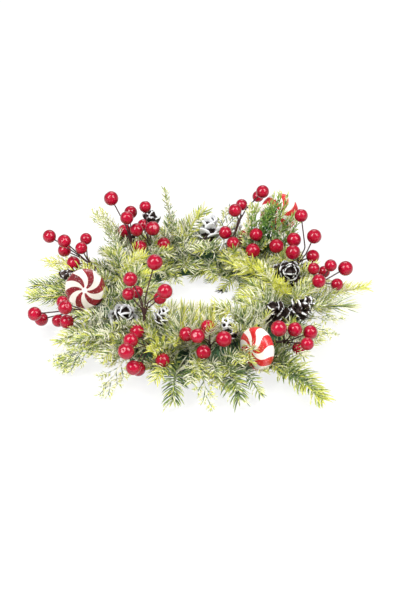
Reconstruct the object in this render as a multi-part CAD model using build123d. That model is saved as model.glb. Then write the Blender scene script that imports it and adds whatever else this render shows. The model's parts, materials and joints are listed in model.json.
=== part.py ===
from build123d import *
from math import cos, radians, sin
import os

os.makedirs("parts", exist_ok=True)

# Candle ring: a wrapped foam ring for the foot of a pillar candle, set all round with wired
# berry sprays, peppermint sweets, pine cones and frosted evergreen sprigs, each on a pick
# that is pushed into its own socket in the foam.
# Origin: centre of the ring on the table. +Z is up and the front of the ring faces -Y.

# Driving dimensions, in millimetres and degrees
ring_inner_radius = 65.0
ring_outer_radius = 87.0
ring_height = 16.0
ring_inner_shoulder = 2.0
ring_outer_shoulder = 5.0
foliage_width = 95.0
crown_rise = 74.0

# Sockets in the foam
socket_depth = 9.0
socket_clearance = 0.1
socket_end_gap = 0.3
socket_mouth_overrun = 5.0

# Berry sprays: a taped stem with a twig to each berry
berry_diameters = {"large": 13.2, "medium": 12.0, "small": 10.8, "long": 11.4}
long_berry_length = 16.2
berry_hole_clearance = 0.05
berry_hole_end_gap = 0.3
stem_foot_diameter = 2.8
stem_top_diameter = 1.9
stem_top_rounding = 0.6
twig_diameter = 1.1
twig_bend_radius = 7.0

# Peppermint sweets: a white disc with red stripes laid into grooves
candy_diameter = 35.0
candy_thickness = 13.0
candy_dome = 1.8
candy_rim_radius = 5.6
candy_hub_radius = 2.6
candy_stripe_depth = 0.7
candy_pin_diameter = 2.0
candy_pin_stop = 5.0
stripe_pairs = 6
stripe_twist = 42.0

# Pine cones: a core with a spiral of woody scales
cone_diameter = 26.0
cone_length = 27.0
long_cone_diameter = 24.0
long_cone_length = 42.0
cone_core_foot_diameter = 9.0
cone_core_tip_diameter = 3.6
scale_count = 26
long_scale_count = 40
scale_width = 7.6
scale_thickness = 1.5
cone_pin_diameter = 1.4
cone_pin_grip = 7.0
spiral_turn = 137.5

# Fit of a pin in the sweet or cone that it carries
pin_clearance = 0.05
pin_end_gap = 0.3

# Evergreen sprigs: a moulded stem with needles or leafy side twigs
sprig_stem_radius = 0.8
stem_sides = 6
needle_width = 1.3
long_spruce_length = 70.0
spruce_length = 47.0
reaching_length = 62.0
spruce_bow = 7.0
reaching_bow = 3.0
spruce_needle_length = 13.0
long_spruce_needle_count = 32
spruce_needle_count = 22
reaching_needle_count = 18
tuft_length = 26.0
tuft_bow = 4.0
tuft_needle_length = 9.5
tuft_needle_count = 13
pine_length = 40.0
pine_bow = 5.0
pine_needle_length = 24.0
pine_needle_count = 18
twig_width = 1.4
leaf_length = 5.5
cedar_length = 58.0
short_cedar_length = 40.0
cedar_bow = 6.0
cedar_twig_length = 20.0
cedar_twig_count = 9
short_cedar_twig_length = 15.0
short_cedar_twig_count = 7
juniper_length = 48.0
juniper_bow = 3.0
juniper_twig_length = 15.0
juniper_twig_count = 8

# A sprig's line from its seat to its tip: shares of its length along, and of its bow up
sprig_line_shares = ((0, 0), (0.3, 0.9), (0.64, 0.86), (1, 0))

# One overrun for every cut that runs out through a surface
cut_overrun = 1.0


def polar(reach, angle, height):
    return Vector(reach * cos(radians(angle)), reach * sin(radians(angle)), height)


def crown_point(angle, width_share, rise_share):
    # Out from the ring's inner wall across the foliage, and up from the ring's top
    reach = ring_inner_radius + width_share * foliage_width
    return polar(reach, angle, ring_height + rise_share * crown_rise)


def ring_seat(angle, band_share, height_share=1):
    # Across the ring from 0 at the inner wall to 1 at the outer wall, and up to 1 at its top
    band = ring_outer_radius - ring_inner_radius
    return polar(ring_inner_radius + band_share * band, angle, ring_height * height_share)


def rod(start, end, radius):
    length = (end - start).length
    base = (Align.CENTER, Align.CENTER, Align.MIN)
    return Plane(origin=start, z_dir=end - start) * Cylinder(radius, length, align=base)


def bent_rod(points, radius, bend_radius):
    path = FilletPolyline(*points, radius=bend_radius)
    section = Plane(origin=path @ 0, z_dir=path % 0) * Circle(radius)
    return sweep(section, path=path)


def export_node(name, solids):
    export_step(Compound(children=list(solids)), f"parts/{name}.step")


# Every pick adds its socket here, and the ring is bored with them all at the end
sockets = []


def bore_socket(seat, direction, pick_radius):
    foot = seat - direction * (socket_depth + socket_end_gap)
    mouth = seat + direction * socket_mouth_overrun
    sockets.append(rod(foot, mouth, pick_radius + socket_clearance))


def straight_pin(seat, target, diameter):
    # From the foot of its socket through the seat and on into the piece it carries
    direction = (target - seat).normalized()
    bore_socket(seat, direction, diameter / 2)
    return rod(seat - direction * socket_depth, target, diameter / 2)


# Berry sprays: the seat is (angle, share of the ring's band), the fork and berries are crown
# points, and each berry's size is named
berry_spray_shares = {
    "left_back": {
        "seat": (160, 0.8),
        "fork": (158, 0.46, 0.19),
        "berries": (
            (159, 0.83, 0.46, "medium"),
            (163, 0.63, 0.52, "medium"),
            (157, 0.71, 0.26, "medium"),
            (151, 0.55, 0.38, "small"),
            (163.5, 0.46, 0.47, "small"),
            (163.5, 0.55, 0.24, "medium"),
        ),
    },
    "back_left_outer": {
        "seat": (136, 0.8),
        "fork": (135, 0.25, 0.30),
        "berries": (
            (135, 0.51, 0.76, "large"),
            (126.5, 0.44, 0.52, "medium"),
            (137.5, 0.25, 0.65, "medium"),
            (132.5, 0.39, 0.34, "medium"),
        ),
    },
    "back_left_inner": {
        "seat": (124, 0.4),
        "fork": (126, 0.14, 0.24),
        "berries": (
            (122.5, 0.29, 0.66, "small"),
            (133.5, 0.19, 0.48, "medium"),
            (122, 0.36, 0.35, "small"),
            (126.5, 0.07, 0.52, "large"),
            (132.5, 0.16, 0.25, "medium"),
            (124.5, 0.27, 0.13, "small"),
            (118.5, 0.05, 0.27, "medium"),
        ),
    },
    "left_inner": {
        "seat": (-130, 0.35),
        "fork": (-130, 0.07, 0.42),
        "berries": (
            (-131, -0.09, 0.92, "large"),
            (-139, 0.11, 0.76, "medium"),
            (-141.5, 0.11, 0.54, "small"),
            (-148.5, -0.03, 0.43, "small"),
            (-113, 0.08, 0.76, "long"),
            (-122, -0.03, 0.54, "small"),
        ),
    },
    "left_front": {
        "seat": (-160, 0.8),
        "fork": (-163, 0.34, 0.10),
        "berries": (
            (-166, 0.83, 0.15, "medium"),
            (-170.5, 0.77, -0.04, "medium"),
            (-168, 0.57, 0.22, "small"),
            (-157.5, 0.59, 0.35, "medium"),
            (-165, 0.63, 0.03, "small"),
            (-158.5, 0.58, 0.13, "medium"),
        ),
    },
    "front_left": {
        "seat": (-117, 0.6),
        "fork": (-117, 0.27, 0.15),
        "berries": (
            (-127, 0.22, 0.24, "medium"),
            (-121, 0.45, 0.36, "medium"),
            (-117.5, 0.64, 0.41, "large"),
            (-116, 0.59, 0.16, "medium"),
            (-118, 0.44, -0.01, "medium"),
            (-107.5, 0.38, 0.13, "medium"),
        ),
    },
    "front": {
        "seat": (-85, 0.4),
        "fork": (-84, 0.14, 0.15),
        "berries": (
            (-98, 0.18, 0.33, "medium"),
            (-91.5, 0.30, 0.43, "medium"),
            (-85, 0.04, 0.30, "medium"),
            (-88.5, 0.29, 0.20, "medium"),
            (-78, 0.26, 0.33, "large"),
        ),
    },
    "front_right": {
        "seat": (-45, 0.8),
        "fork": (-46, 0.36, 0.12),
        "berries": (
            (-52.5, 0.40, 0.41, "large"),
            (-44.5, 0.44, 0.33, "medium"),
            (-38, 0.51, 0.24, "medium"),
            (-47, 0.63, 0.30, "small"),
            (-43, 0.47, 0.07, "small"),
        ),
    },
    "right": {
        "seat": (6, 0.8),
        "fork": (6, 0.42, 0.16),
        "berries": (
            (10, 0.37, 0.30, "small"),
            (8.5, 0.52, 0.35, "small"),
            (16.5, 0.52, 0.12, "small"),
            (9.5, 0.67, 0.27, "large"),
            (-6, 0.38, 0.38, "medium"),
            (6, 0.58, 0.12, "small"),
        ),
    },
    "right_back": {
        "seat": (27, 0.8),
        "fork": (27, 0.38, 0.16),
        "berries": (
            (34, 0.45, 0.68, "medium"),
            (27, 0.51, 0.46, "large"),
            (33.5, 0.37, 0.38, "large"),
            (35.5, 0.19, 0.35, "large"),
            (21, 0.23, 0.41, "large"),
            (24, 0.47, 0.235, "medium"),
        ),
    },
    "back_right_outer": {
        "seat": (72, 0.6),
        "fork": (68, 0.38, 0.42),
        "berries": (
            (58, 0.43, 0.78, "medium"),
            (64.5, 0.62, 0.54, "small"),
            (68, 0.37, 0.57, "small"),
            (67, 0.15, 0.65, "medium"),
        ),
    },
    "back_right_inner": {
        "seat": (61, 0.3),
        "fork": (60, 0.14, 0.13),
        "berries": (
            (72.5, 0.10, 0.35, "medium"),
            (63.5, 0.01, 0.30, "medium"),
            (63.5, 0.28, 0.21, "medium"),
            (50.5, 0.14, 0.41, "medium"),
            (66.5, 0.24, 0.065, "small"),
            (45, 0.01, 0.30, "large"),
        ),
    },
}

# A twig leaves the stem at the fork, or the lower the more it turns away, down to this share
lowest_twig_share = 0.62
wide_turn_angle = 90.0
# It bends at this share of the way to its berry's heart
twig_knee_share = 0.38


def berry_shape(size):
    # Its heart is at the origin, and its hole comes up from below to just past the heart
    diameter = berry_diameters[size]
    body = Sphere(diameter / 2)
    length = diameter
    if size == "long":
        length = long_berry_length
        body = scale(body, by=(1, 1, length / diameter))
    hole_end = Vector(0, 0, berry_hole_end_gap)
    return body - rod(Vector(0, 0, -length), hole_end, twig_diameter / 2 + berry_hole_clearance)


berry_shapes = {size: berry_shape(size) for size in berry_diameters}


def berry_spray(name, places):
    seat = ring_seat(*places["seat"])
    fork = crown_point(*places["fork"])
    rise = fork - seat
    direction = rise.normalized()
    bore_socket(seat, direction, stem_foot_diameter / 2)
    foot = seat - direction * socket_depth
    shaft = rod(foot, seat, stem_foot_diameter / 2)
    base = (Align.CENTER, Align.CENTER, Align.MIN)
    taper = Cone(stem_foot_diameter / 2, stem_top_diameter / 2, rise.length, align=base)
    taper = fillet(taper.edges().sort_by(Axis.Z)[-1], stem_top_rounding)
    taper = Plane(origin=seat, z_dir=rise) * taper
    twigs = []
    berries = []
    for *place, size in places["berries"]:
        centre = crown_point(*place)
        turn = min(direction.get_angle(centre - fork), wide_turn_angle)
        leaving_share = 1 - (1 - lowest_twig_share) * turn / wide_turn_angle
        leaving = seat + rise * leaving_share
        run = centre - leaving
        start = leaving - direction * stem_top_rounding
        knee = start + (direction + run.normalized()).normalized() * run.length * twig_knee_share
        twigs.append(bent_rod((start, knee, centre), twig_diameter / 2, twig_bend_radius))
        berries.append(Plane(origin=centre, z_dir=centre - knee) * berry_shapes[size])
    stem = shaft.fuse(taper, *twigs)
    export_node(f"{name}_spray_stem", stem.solids())
    export_node(f"{name}_spray_berries", berries)


for spray_name, spray_places in berry_spray_shares.items():
    berry_spray(spray_name, spray_places)


def candy_disc(inset):
    # A disc with a rounded rim and two faintly domed faces, drawn in by the inset
    radius = candy_diameter / 2 - inset
    half = candy_thickness / 2 - inset
    disc = Cylinder(radius, 2 * half)
    disc = fillet(disc.edges().filter_by(GeomType.CIRCLE), candy_rim_radius - inset)
    dome_radius = (radius ** 2 + candy_dome ** 2) / (2 * candy_dome)
    for side in (1, -1):
        disc = disc & Pos(0, 0, side * (half - dome_radius)) * Sphere(dome_radius)
    return disc


def candy_arms():
    # Curved wedges from the hub out past the rim, every other one red
    outer = candy_diameter / 2 + cut_overrun
    middle = (candy_hub_radius + outer) / 2
    arm_angle = 360 / stripe_pairs / 2
    arms = []
    for arm in range(stripe_pairs):
        first = 2 * arm_angle * arm
        last = first + arm_angle
        sides = []
        for angle in (first, last):
            inner_point = polar(candy_hub_radius, angle, 0)
            middle_point = polar(middle, angle + stripe_twist / 3, 0)
            outer_point = polar(outer, angle + stripe_twist, 0)
            sides.append(ThreePointArc(inner_point, middle_point, outer_point))
        hub_line = Line(sides[0] @ 0, sides[1] @ 0)
        rim_line = Line(sides[0] @ 1, sides[1] @ 1)
        wedge = make_face([*sides, hub_line, rim_line])
        arms.append(extrude(wedge, candy_thickness, both=True))
    return arms


# Sweets: seat on the ring, centre as a crown point, and the way the face looks
candy_place_shares = {
    "left": ((178, 0.72), (-179, 0.36, 0.19), (-92, 22)),
    "front_right": ((-61, 0.72), (-62, 0.34, 0.185), (-145, 10)),
    "back_right": ((51, 0.72), (51, 0.52, 0.49), (-92, 30)),
}

plain_candy = candy_disc(0)
candy_skin = plain_candy - candy_disc(candy_stripe_depth)
candy_stripes = [candy_skin & arm for arm in candy_arms()]
candy_body = plain_candy - candy_stripes
candy_pins = []
for candy_name, (seat_place, centre_place, (facing, tilt)) in candy_place_shares.items():
    seat = ring_seat(*seat_place)
    centre = crown_point(*centre_place)
    direction = (centre - seat).normalized()
    pin_end = centre - direction * candy_pin_stop
    candy_pins.append(straight_pin(seat, pin_end, candy_pin_diameter))
    hole = rod(seat, pin_end + direction * pin_end_gap, candy_pin_diameter / 2 + pin_clearance)
    face_way = polar(cos(radians(tilt)), facing, sin(radians(tilt)))
    place = Plane(origin=centre, z_dir=face_way)
    export_node(f"{candy_name}_candy", [place * candy_body - hole])
    export_node(f"{candy_name}_candy_stripes", [place * stripe - hole for stripe in candy_stripes])
export_node("candy_pins", candy_pins)


# Shares and angles of a cone's spiral, foot to tip
cone_core_share = 0.86
first_scale_share = 0.1
last_scale_share = 0.8
closing_share = 0.62
first_scale_tilt = 8.0
last_scale_tilt = 66.0
scale_shoulder_share = 0.72
scale_end_share = 0.5


def woody_scale(reach):
    # A spade from beside the core's middle out to a blunt thick tip
    wide = scale_width / 2
    narrow = wide * scale_end_share
    root = cone_pin_diameter
    shoulder = reach * scale_shoulder_share
    lower = [(root, -narrow), (shoulder, -wide), (reach, -narrow)]
    upper = [(along, -across) for along, across in reversed(lower)]
    outline = Polyline(*lower, *upper, close=True)
    return extrude(make_face(outline), scale_thickness / 2, both=True)


def pine_cone(diameter, length, count):
    # Foot at the origin, tip up +Z, with the pin's hole in its foot
    base = (Align.CENTER, Align.CENTER, Align.MIN)
    core_height = length * cone_core_share
    core = Cone(cone_core_foot_diameter / 2, cone_core_tip_diameter / 2, core_height, align=base)
    scales = []
    for index in range(count):
        share = index / (count - 1)
        reach = diameter / 2 * (1 - closing_share * share ** 2)
        tilt = first_scale_tilt + (last_scale_tilt - first_scale_tilt) * share
        height = length * (first_scale_share + (last_scale_share - first_scale_share) * share)
        spread = polar(cos(radians(tilt)), index * spiral_turn, sin(radians(tilt)))
        side = polar(1, index * spiral_turn + 90, 0)
        place = Plane(origin=(0, 0, height), x_dir=spread, z_dir=spread.cross(side))
        scales.append(place * woody_scale(reach))
    hole_depth = cone_pin_grip + pin_end_gap
    return core.fuse(*scales) - Cylinder(cone_pin_diameter / 2 + pin_clearance, hole_depth, align=base)


# Cones: seat on the ring, heart as a crown point, share of full size, and form. The tip points
# away from the seat.
cone_place_shares = {
    "right_cone": ((24.5, 0.79), (14.5, 0.15, 0.20), 1.0, "round"),
    "right_back_small_cone": ((18, 0.85), (20.5, 0.35, 0.09), 0.62, "round"),
    "right_front_cone": ((-22, 0.7), (-18, 0.27, 0.17), 0.9, "round"),
    "right_inner_cone": ((-26, 0.6), (-31.5, 0.10, 0.20), 0.92, "round"),
    "front_cone": ((-66, 0.4), (-70, 0.03, 0.23), 0.72, "round"),
    "left_inner_cone": ((-152, 0.5), (-146, 0.13, 0.19), 1.0, "round"),
    "left_small_cone": ((-124, 0.25), (-119.5, -0.02, 0.32), 0.62, "round"),
    "left_long_cone": ((164.4, 0.79), (169, 0.46, 0.13), 1.0, "long"),
    "back_cone": ((85, 0.7), (85, 0.29, 0.24), 0.95, "round"),
    "back_right_small_cone": ((74, 0.8), (71.5, 0.40, 0.17), 0.62, "round"),
    "back_left_cone": ((112, 0.75), (115, 0.48, 0.32), 0.72, "round"),
    "back_left_outer_cone": ((130, 0.8), (128.5, 0.50, 0.16), 0.8, "round"),
}

cone_forms = {
    "round": (pine_cone(cone_diameter, cone_length, scale_count), cone_length),
    "long": (pine_cone(long_cone_diameter, long_cone_length, long_scale_count), long_cone_length),
}
cone_pins = []
for cone_name, (seat_place, heart_place, size_share, form) in cone_place_shares.items():
    seat = ring_seat(*seat_place)
    heart = crown_point(*heart_place)
    axis = (heart - seat).normalized()
    shape, length = cone_forms[form]
    foot = heart - axis * length * size_share / 2
    pin_end = foot + axis * cone_pin_grip * size_share
    cone_pins.append(straight_pin(seat, pin_end, cone_pin_diameter * size_share))
    export_node(cone_name, [Plane(origin=foot, z_dir=axis) * scale(shape, by=size_share)])
export_node("cone_pins", cone_pins)


def spike(base, direction, length, width):
    # A three-sided needle that comes to a point
    frame = Plane(origin=base, z_dir=direction)
    corners = [frame.from_local_coords(polar(width / 2, turn, 0)) for turn in (0, 120, 240)]
    tip = frame.from_local_coords(Vector(0, 0, length))
    sides = [(corners[side], corners[(side + 1) % 3], tip) for side in range(3)]
    faces = [Face(Wire.make_polygon(loop)) for loop in [corners[::-1], *sides]]
    return Solid(Shell(faces))


def sprig_line(length, bow):
    return [Vector(length * along, 0, bow * up) for along, up in sprig_line_shares]


def point_on(line, share):
    reach = share * line[-1].X
    for start, end in zip(line, line[1:]):
        if reach <= end.X:
            break
    return start + (end - start) * ((reach - start.X) / (end.X - start.X))


def sprig_stem(line):
    foot = line[0] - (line[1] - line[0]).normalized() * socket_depth
    section = Plane(origin=foot, z_dir=line[1] - line[0])
    profile = section * RegularPolygon(sprig_stem_radius, stem_sides)
    return sweep(profile, path=Polyline(foot, *line[1:]), transition=Transition.RIGHT)


def aimed(open_angle, roll):
    # Forward along the sprig, opened away from it, and rolled round it from its left side
    spread = sin(radians(open_angle))
    return Vector(cos(radians(open_angle)), spread * cos(radians(roll)), spread * sin(radians(roll)))


# How needles open from the stem and wrap round it
needle_open_angle = 56.0
needle_tip_angle = 20.0
needle_roll_from = -12.0
needle_roll_range = 204.0
short_tip_share = 0.6


def needled_sprig(length, bow, count, needle_length, first_share):
    line = sprig_line(length, bow)
    needles = []
    for index in range(count):
        step = index / (count - 1)
        share = first_share + (1 - first_share) * step
        open_angle = needle_open_angle + (needle_tip_angle - needle_open_angle) * step
        roll = needle_roll_from + (index * spiral_turn) % needle_roll_range
        size = needle_length * (1 - (1 - short_tip_share) * step)
        needles.append(spike(point_on(line, share), aimed(open_angle, roll), size, needle_width))
    return length, bow, sprig_stem(line).fuse(*needles)


# Side twigs: where they start, how they open, and the leaves along each
twig_first_share = 0.18
twig_open_angle = 42.0
leaf_open_angle = 38.0
leaf_step_shares = (0.42, 0.74)
flat_rolls = (0, 180)
bushy_rolls = (0, 180, 90, 20, 160, 60, 120)


def leafy_sprig(length, bow, count, twig_length, rolls):
    line = sprig_line(length, bow)
    spikes = []
    for index in range(count):
        step = index / (count - 1)
        share = twig_first_share + (1 - twig_first_share) * step
        roll = rolls[index % len(rolls)]
        open_angle = twig_open_angle * (1 - step / 2)
        twig_way = aimed(open_angle, roll)
        size = twig_length * (1 - (1 - short_tip_share) * step)
        root = point_on(line, share)
        spikes.append(spike(root, twig_way, size, twig_width))
        for leaf, leaf_share in enumerate(leaf_step_shares):
            side = 1 if leaf % 2 else -1
            leaf_way = aimed(open_angle + side * leaf_open_angle, roll)
            leaf_root = root + twig_way * size * leaf_share
            spikes.append(spike(leaf_root, leaf_way, leaf_length, twig_width))
    return length, bow, sprig_stem(line).fuse(*spikes)


# The share of a sprig's length that is bare below its first needle
bare_share = 0.18
reaching_bare_share = 0.5
pine_bare_share = 0.4

sprig_kinds = {
    "long_spruce": needled_sprig(
        long_spruce_length, spruce_bow, long_spruce_needle_count, spruce_needle_length, bare_share
    ),
    "spruce": needled_sprig(
        spruce_length, spruce_bow, spruce_needle_count, spruce_needle_length, bare_share
    ),
    "reaching_spruce": needled_sprig(
        reaching_length, reaching_bow, reaching_needle_count, spruce_needle_length, reaching_bare_share
    ),
    "tuft": needled_sprig(tuft_length, tuft_bow, tuft_needle_count, tuft_needle_length, bare_share),
    "pine": needled_sprig(pine_length, pine_bow, pine_needle_count, pine_needle_length, pine_bare_share),
    "cedar": leafy_sprig(cedar_length, cedar_bow, cedar_twig_count, cedar_twig_length, flat_rolls),
    "short_cedar": leafy_sprig(
        short_cedar_length, cedar_bow, short_cedar_twig_count, short_cedar_twig_length, flat_rolls
    ),
    "juniper": leafy_sprig(
        juniper_length, juniper_bow, juniper_twig_count, juniper_twig_length, bushy_rolls
    ),
}

# How far a steep sprig's upper side leans in over the ring
lean_share = 0.3


def placed_sprig(kind, seat_place, aim_place):
    length, bow, shape = sprig_kinds[kind]
    seat = ring_seat(*seat_place)
    chord = crown_point(*aim_place) - seat
    upper_way = Vector(0, 0, 1) - polar(lean_share, seat_place[0], 0)
    frame = Plane(origin=seat, x_dir=chord, z_dir=chord.cross(upper_way.cross(chord)))
    pick_way = (frame.from_local_coords(sprig_line(length, bow)[1]) - seat).normalized()
    bore_socket(seat, pick_way, sprig_stem_radius)
    return frame * shape


# Sprigs by node: kind, seat on the ring, and the crown point it reaches towards
sprig_place_shares = {
    "front_spruce_sprigs": (
        ("long_spruce", (-54, 1, 0.6), (-53.5, 1.0, -0.07)),
        ("spruce", (-72, 1, 0.35), (-68, 0.68, -0.1)),
        ("spruce", (-77, 1, 0.6), (-76, 0.75, -0.06)),
        ("spruce", (-102, 1, 0.6), (-100, 0.64, -0.06)),
    ),
    "left_spruce_sprigs": (
        ("reaching_spruce", (172, 1, 0.5), (174.5, 0.87, -0.04)),
        ("spruce", (-154, 1, 0.6), (-154, 0.68, -0.03)),
        ("tuft", (-145, 0.8), (-140, 0.50, 0.05)),
    ),
    "right_spruce_sprigs": (
        ("reaching_spruce", (3, 1, 0.5), (8, 0.87, 0.0)),
        ("tuft", (-3, 0.4), (-12, 0.10, 0.22)),
    ),
    "back_spruce_sprigs": (
        ("spruce", (104, 0.8), (90, 0.40, 0.33)),
        ("tuft", (97, 0.8), (99, 0.50, 0.22)),
    ),
    "inner_spruce_sprigs": (
        ("spruce", (-52, 0.25), (-83, -0.14, 0.51)),
        ("long_spruce", (4, 0.2), (68, -0.03, 0.10)),
        ("tuft", (152, 0.35), (137, -0.02, 0.35)),
        ("tuft", (140, 0.2), (112, -0.03, 0.06)),
    ),
    "pine_sprigs": (
        ("pine", (-8, 1, 0.6), (-4.5, 0.71, 0.03)),
        ("pine", (-104, 0.2), (-104, -0.11, 0.49)),
    ),
    "left_cedar_sprigs": (
        ("cedar", (155, 1, 0.6), (160, 0.87, 0.11)),
        ("cedar", (-147, 1, 0.5), (-141.5, 0.80, -0.08)),
        ("cedar", (-131, 1, 0.5), (-123.5, 0.75, -0.08)),
    ),
    "front_cedar_sprigs": (
        ("short_cedar", (-91, 1, 0.5), (-88, 0.60, -0.08)),
    ),
    "right_cedar_sprigs": (
        ("short_cedar", (-14, 1, 0.5), (-12.5, 0.48, -0.03)),
        ("short_cedar", (-25, 1, 0.5), (-22.5, 0.52, -0.03)),
        ("cedar", (14, 1, 0.35), (15, 0.77, 0.0)),
    ),
    "back_cedar_sprigs": (
        ("cedar", (146, 0.6), (140, 0.56, 0.43)),
        ("cedar", (141, 1, 0.65), (133, 0.7, 0.38)),
        ("cedar", (108, 0.7), (109.5, 0.33, 0.84)),
        ("short_cedar", (76, 1, 0.7), (76, 0.5, 0.33)),
    ),
    "juniper_sprigs": (
        ("juniper", (53.5, 1, 0.8), (52.5, 0.42, 0.68)),
        ("juniper", (44, 0.9), (43.5, 0.41, 0.70)),
        ("juniper", (40, 0.85), (38, 0.56, 0.57)),
    ),
    "outer_tufts": (
        ("tuft", (-38, 1, 0.7), (-36, 0.5, 0.02)),
        ("tuft", (-85, 1, 0.7), (-84, 0.5, 0.02)),
        ("tuft", (-112, 1, 0.6), (-110, 0.5, 0.0)),
        ("tuft", (-138, 1, 0.7), (-136, 0.5, 0.04)),
        ("tuft", (-166, 1, 0.7), (-172, 0.5, 0.0)),
        ("tuft", (149, 1, 0.7), (150, 0.5, 0.02)),
        ("tuft", (132, 1, 0.7), (136, 0.5, 0.0)),
        ("tuft", (118, 1, 0.7), (120, 0.5, 0.04)),
        ("tuft", (103, 1, 0.7), (101, 0.5, 0.0)),
        ("tuft", (88, 1, 0.5), (88, 0.5, -0.03)),
        ("tuft", (71, 1, 0.7), (68, 0.5, 0.0)),
        ("tuft", (59, 1, 0.5), (60, 0.5, 0.0)),
        ("tuft", (36, 1, 0.7), (38, 0.5, 0.04)),
        ("tuft", (28, 1, 0.6), (29, 0.5, 0.0)),
    ),
    "inner_tufts": (
        ("tuft", (-15, 0.15), (-1, 0.02, 0.13)),
        ("tuft", (-81, 0.15), (-93, 0.02, 0.13)),
        ("tuft", (-133, 0.15), (-120, 0.02, 0.10)),
        ("tuft", (-160, 0.15), (-176, 0.02, 0.13)),
        ("tuft", (178, 0.15), (166, 0.02, 0.13)),
        ("tuft", (110, 0.15), (98, 0.02, 0.13)),
        ("tuft", (94, 0.15), (84, 0.02, 0.13)),
        ("tuft", (42, 0.4), (33, 0.12, 0.13)),
    ),
    "top_tufts": (
        ("tuft", (-10, 0.6), (-12, 0.3, 0.3)),
        ("tuft", (-37, 0.8), (-34, 0.45, 0.10)),
        ("tuft", (-104, 0.6), (-104, 0.3, 0.3)),
        ("tuft", (-138, 0.6), (-136, 0.3, 0.3)),
        ("tuft", (-170, 0.5), (-165, 0.2, 0.3)),
        ("tuft", (150, 0.6), (148, 0.25, 0.3)),
        ("tuft", (118, 0.6), (120, 0.2, 0.3)),
        ("tuft", (101, 0.35), (105, 0.1, 0.25)),
    ),
}

for node_name, sprigs in sprig_place_shares.items():
    export_node(node_name, [placed_sprig(*places) for places in sprigs])


def foam_ring():
    band = ring_outer_radius - ring_inner_radius
    middle = (ring_inner_radius + ring_outer_radius) / 2
    section = Pos(middle, ring_height / 2) * Rectangle(band, ring_height)
    top_corners = section.vertices().group_by(Axis.Y)[-1].sort_by(Axis.X)
    section = fillet(top_corners[0], ring_inner_shoulder)
    outer_corner = section.vertices().sort_by_distance((ring_outer_radius, ring_height))[0]
    section = fillet(outer_corner, ring_outer_shoulder)
    return revolve(Plane.XZ * section, Axis.Z)


export_node("base_ring", [foam_ring() - sockets])
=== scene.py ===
import json
import math
import random

import bmesh
import bpy
from mathutils import Matrix, Vector


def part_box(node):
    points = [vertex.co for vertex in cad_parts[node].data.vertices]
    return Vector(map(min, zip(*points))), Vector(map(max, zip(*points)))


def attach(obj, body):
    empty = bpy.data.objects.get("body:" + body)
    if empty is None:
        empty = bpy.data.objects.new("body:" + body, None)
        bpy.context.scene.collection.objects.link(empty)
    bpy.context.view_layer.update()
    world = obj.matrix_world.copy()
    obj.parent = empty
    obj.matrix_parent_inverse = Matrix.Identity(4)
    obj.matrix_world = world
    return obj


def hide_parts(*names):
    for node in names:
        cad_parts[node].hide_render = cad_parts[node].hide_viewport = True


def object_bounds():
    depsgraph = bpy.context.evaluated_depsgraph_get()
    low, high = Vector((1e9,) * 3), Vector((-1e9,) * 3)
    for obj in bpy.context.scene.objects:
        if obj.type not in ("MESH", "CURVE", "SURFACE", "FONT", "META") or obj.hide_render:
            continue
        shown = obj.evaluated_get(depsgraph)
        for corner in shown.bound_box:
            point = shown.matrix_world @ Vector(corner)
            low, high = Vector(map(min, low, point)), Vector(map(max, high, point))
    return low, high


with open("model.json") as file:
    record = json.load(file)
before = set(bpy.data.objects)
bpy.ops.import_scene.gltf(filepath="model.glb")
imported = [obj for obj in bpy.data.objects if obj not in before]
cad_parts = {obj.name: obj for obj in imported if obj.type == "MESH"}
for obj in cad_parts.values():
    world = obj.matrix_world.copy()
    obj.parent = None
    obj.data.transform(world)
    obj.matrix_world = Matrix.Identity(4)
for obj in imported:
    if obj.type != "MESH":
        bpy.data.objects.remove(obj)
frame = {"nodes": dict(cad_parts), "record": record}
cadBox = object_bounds()
print("frame loaded with", len(frame["nodes"]), "nodes")


def linearColour(hexColour):
    channels = [int(hexColour[place:place + 2], 16) / 255 for place in (1, 3, 5)]
    linear = [c / 12.92 if c <= 0.04045 else ((c + 0.055) / 1.055) ** 2.4 for c in channels]
    return (*linear, 1.0)


def setSockets(node, inputs):
    # a socket takes a value, another socket, or a node for its first output
    for socket, value in inputs.items():
        source = value.outputs[0] if isinstance(value, bpy.types.Node) else value
        if isinstance(source, bpy.types.NodeSocket):
            node.id_data.links.new(source, node.inputs[socket])
        else:
            node.inputs[socket].default_value = source


def addNode(tree, kind, inputs=None, stops=(), **settings):
    # one node with its settings and sockets; stops are a colour ramp's places and colours
    node = tree.nodes.new("ShaderNode" + kind)
    for name, value in settings.items():
        setattr(node, name, value)
    for extra in stops[2:]:
        node.color_ramp.elements.new(extra[0])
    for number, (place, colour) in enumerate(stops):
        node.color_ramp.elements[number].position = place
        node.color_ramp.elements[number].color = linearColour(colour)
    setSockets(node, inputs or {})
    return node


def newMaterial(name, values):
    # the shader's own values are set here: its tree and shader come back for the pattern
    material = bpy.data.materials.new(name)
    material.use_nodes = True
    shader = material.node_tree.nodes["Principled BSDF"]
    setSockets(shader, values)
    return material, material.node_tree, shader


def meshFrom(work, name):
    mesh = bpy.data.meshes.new(name)
    work.to_mesh(mesh)
    work.free()
    return mesh


def addObject(name, data):
    thing = bpy.data.objects.new(name, data)
    bpy.context.scene.collection.objects.link(thing)
    return thing


def finishPiece(work, nodeName, material, smooth):
    # the bmesh becomes a piece that stands for its CAD node
    name = nodeName.replace("_", "-")
    work.normal_update()
    mesh = meshFrom(work, name)
    for polygon in mesh.polygons:
        polygon.use_smooth = smooth
    mesh.materials.append(material)
    piece = addObject(name, mesh)
    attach(piece, "root")
    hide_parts(nodeName)


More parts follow.
